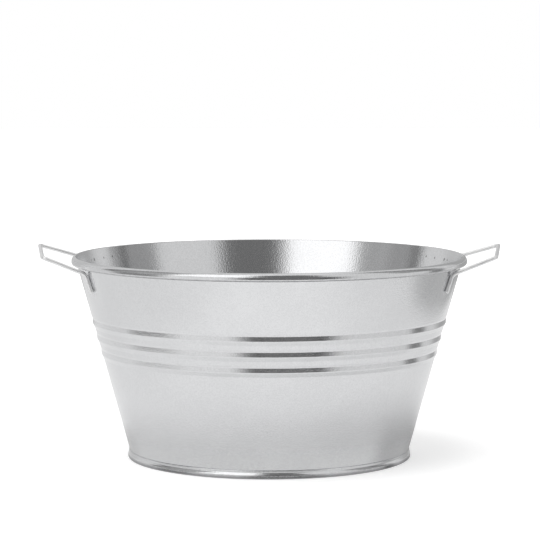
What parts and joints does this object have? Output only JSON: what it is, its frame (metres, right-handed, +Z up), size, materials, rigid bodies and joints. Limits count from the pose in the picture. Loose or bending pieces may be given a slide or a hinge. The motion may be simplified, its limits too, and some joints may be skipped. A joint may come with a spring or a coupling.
{
  "type": "washing tub",
  "caption": "Tapered round washing tub in galvanised sheet steel with pressed ribs, a rolled wired rim, a double-seamed foot and fixed wire loop handles.",
  "frame": {"origin": "centre of the foot, on the surface the tub stands on", "axes": "+Z up along the tub's axis, X through the two handles, +Y away from the picture's camera"},
  "size_m": [0.4812, 0.4, 0.2106],
  "materials": {
    "galvanised_sheet": "bright fine-grained zinc, satin",
    "galvanised_wire": "bright zinc, smooth",
    "weld_metal": "dull grey",
    "sealant": "matte"
  },
  "bodies": {
    "root": {"tub_wall": "galvanised_sheet", "tub_bottom": "galvanised_sheet", "rim_wire": "galvanised_wire", "left_handle": "galvanised_wire", "right_handle": "galvanised_wire", "left_handle_welds": "weld_metal", "right_handle_welds": "weld_metal", "seam_sealant": "sealant"}
  },
  "joints": []
}
